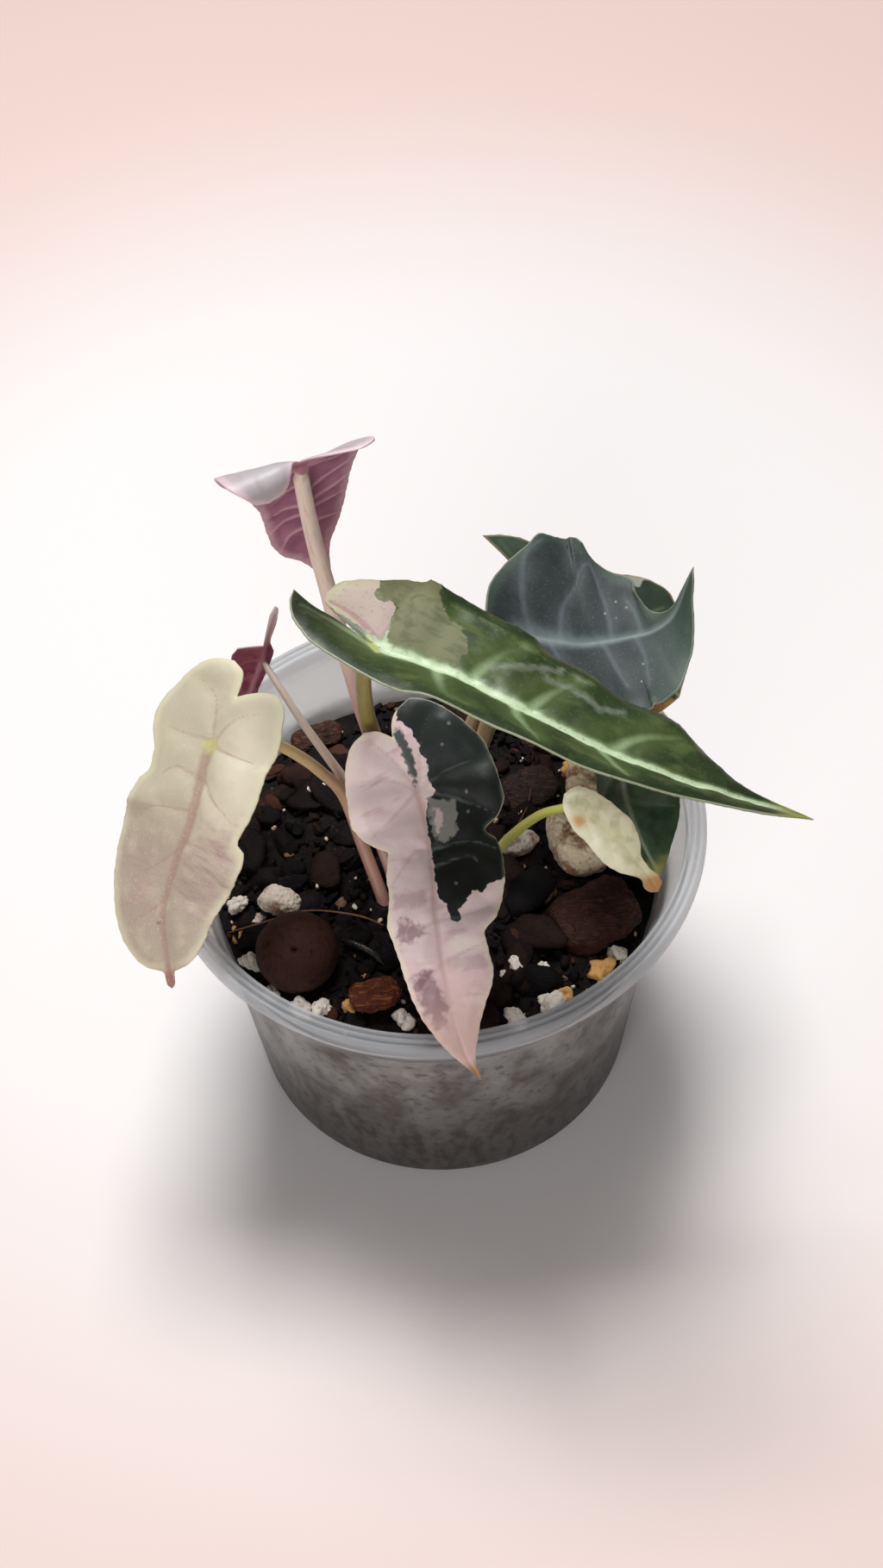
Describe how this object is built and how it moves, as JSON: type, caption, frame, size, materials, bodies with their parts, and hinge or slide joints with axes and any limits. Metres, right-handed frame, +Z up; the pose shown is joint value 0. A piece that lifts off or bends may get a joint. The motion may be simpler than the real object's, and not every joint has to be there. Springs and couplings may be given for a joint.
{
  "type": "potted alocasia",
  "caption": "Young bambino alocasia with pink, cream, slate and green leaves in a frosted clear nursery cup of dark chunky soil.",
  "frame": {"origin": "centre of the cup's base, on the surface that it stands on", "axes": "+Z up; -Y the front, toward which the pink leaf hangs; +X to the right, where the long green leaf points"},
  "size_m": [0.1357, 0.1269, 0.175],
  "materials": {
    "frosted_plastic": "frosted clear polypropylene with a soft sheen",
    "soil": "damp, coarse and matte",
    "clay": "dull fired clay",
    "pumice": "chalky and porous",
    "husk": "fibrous and matte",
    "bark": "rough wood bark",
    "cream_leaf": "waxy satin",
    "pink_leaf": "waxy satin",
    "green_leaf": "waxy, fairly glossy",
    "slate_leaf": "waxy with a grey bloom",
    "dark_green_leaf": "waxy satin",
    "pale_leaf": "thin and translucent, satin",
    "purple_leaf": "satin underside"
  },
  "bodies": {
    "root": {"pot": "frosted_plastic", "soil": "soil", "clay_ball": "clay", "pumice_front": "pumice", "pumice_large": "pumice", "pumice_small": "pumice", "pumice_middle": "pumice", "coir_chip": "husk", "bark_front": "bark", "bark_middle": "husk", "bark_back_left": "bark", "bark_back_right": "bark", "leaf_cream": "cream_leaf", "leaf_pink": "pink_leaf", "leaf_long": "green_leaf", "leaf_slate": "slate_leaf", "leaf_rear": "green_leaf", "leaf_low": "dark_green_leaf", "leaf_small": "pale_leaf", "leaf_purple": "purple_leaf", "leaf_bud": "purple_leaf"}
  },
  "joints": []
}
